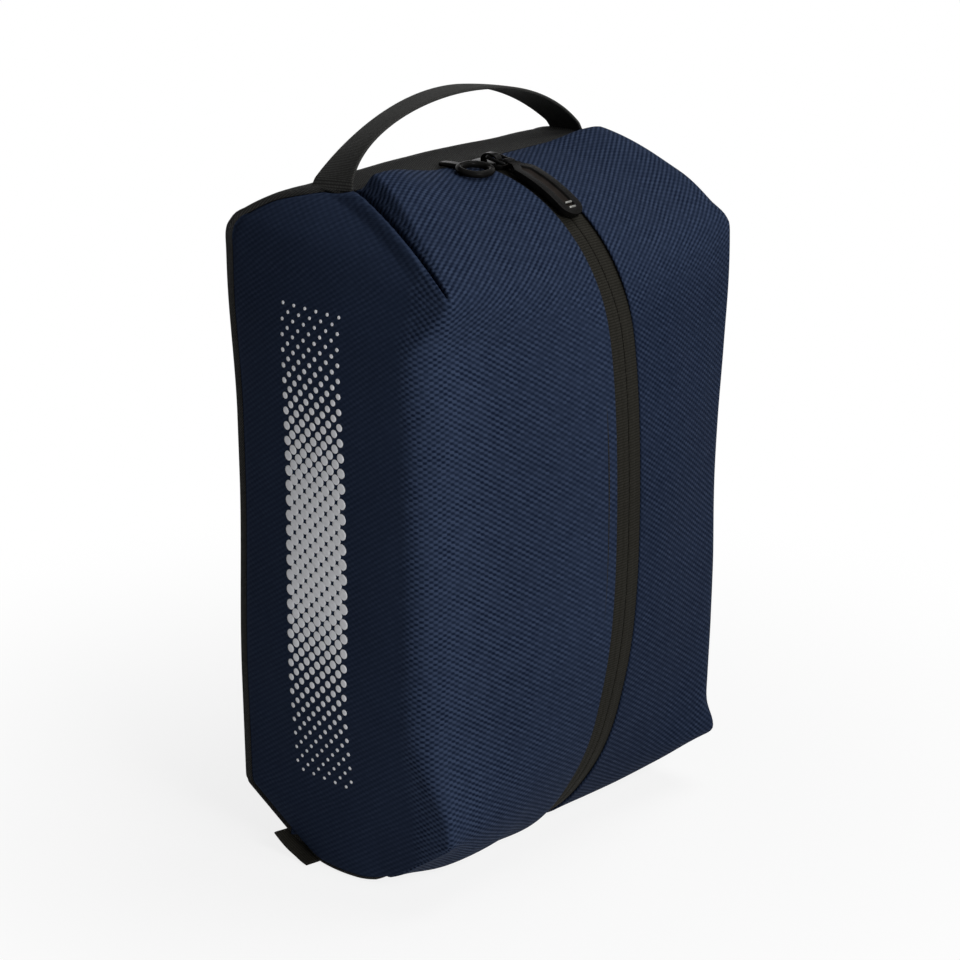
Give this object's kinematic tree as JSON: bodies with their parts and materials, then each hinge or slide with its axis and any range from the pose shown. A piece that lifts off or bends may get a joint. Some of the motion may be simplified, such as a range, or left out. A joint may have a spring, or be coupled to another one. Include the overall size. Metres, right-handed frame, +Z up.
{
  "type": "golf shoe bag",
  "caption": "Upright soft shoe bag with a zip over the top and down the front, front halves that fold open, a webbing carry handle and a finger loop.",
  "frame": {"origin": "on the ground plane, under the middle of the side panels' depth and the middle of the width", "axes": "+Z up, +X to the bag's right as the zip is faced, -Y towards the front with the zip"},
  "size_m": [0.2176, 0.1695, 0.3751],
  "materials": {
    "navy_weave": "navy dobby weave with small lighter dashes",
    "black_cloth": "black plain weave",
    "binding": "black binding tape",
    "zip_tape": "black woven zip tape",
    "zip_coil": "black nylon coil",
    "slider_metal": "black enamelled die-cast metal",
    "puller_rubber": "black moulded rubber",
    "webbing": "black flat webbing",
    "loop_plastic": "glossy black moulded plastic",
    "label": "black woven label, folded"
  },
  "bodies": {
    "bag": {"left_side_panel": "navy_weave", "left_top_panel": "navy_weave", "left_lower_panel": "navy_weave", "right_side_panel": "navy_weave", "right_top_panel": "navy_weave", "right_lower_panel": "navy_weave", "top_yoke": "black_cloth", "back_panel": "black_cloth", "base_panel": "black_cloth", "left_seam_binding": "binding", "right_seam_binding": "binding", "left_upper_tape": "zip_tape", "left_lower_tape": "zip_tape", "right_upper_tape": "zip_tape", "right_lower_tape": "zip_tape", "left_upper_coil": "zip_coil", "left_lower_coil": "zip_coil", "right_upper_coil": "zip_coil", "right_lower_coil": "zip_coil", "zip_top_stops": "zip_coil", "zip_bottom_stop": "zip_coil", "handle_feet": "webbing", "side_label": "label"},
    "left_flap": {"left_front_flap": "navy_weave", "left_flap_tape": "zip_tape", "left_flap_coil": "zip_coil"},
    "right_flap": {"right_front_flap": "navy_weave", "right_flap_tape": "zip_tape", "right_flap_coil": "zip_coil"},
    "zip_slider": {"slider_body": "slider_metal", "slider_bridge": "slider_metal"},
    "zip_pull": {"pull_bail": "slider_metal", "zip_puller": "puller_rubber"},
    "handle": {"handle_webbing": "webbing"},
    "finger_loop": {"finger_loop": "loop_plastic"}
  },
  "joints": [
    {"name": "slider_run", "type": "hinge", "parent": "bag", "child": "zip_slider", "pos_m": [0, -0.001, 0.25496], "axis": [1, 0, 0], "range_deg": [0, 54]},
    {"name": "puller_lift", "type": "hinge", "parent": "zip_slider", "child": "zip_pull", "pos_m": [0, -0.00386, 0.34587], "axis": [-1, 0, 0], "range_deg": [0, 110]},
    {"name": "handle_flop", "type": "hinge", "parent": "bag", "child": "handle", "pos_m": [0, 0.02, 0.3589], "axis": [1, 0, 0], "range_deg": [-80, 80], "stiffness_Nm_per_rad": 0.01},
    {"name": "loop_lift", "type": "hinge", "parent": "bag", "child": "finger_loop", "pos_m": [-0.022, 0.00814, 0.34384], "axis": [1, 0, 0], "range_deg": [-80, 0]},
    {"name": "left_flap_open", "type": "hinge", "parent": "bag", "child": "left_flap", "pos_m": [-0.1045, -0.0707, 0.173], "axis": [0, 0, -1], "range_deg": [0, 100]},
    {"name": "right_flap_open", "type": "hinge", "parent": "bag", "child": "right_flap", "pos_m": [0.1045, -0.0707, 0.173], "axis": [0, 0, 1], "range_deg": [0, 100]}
  ]
}
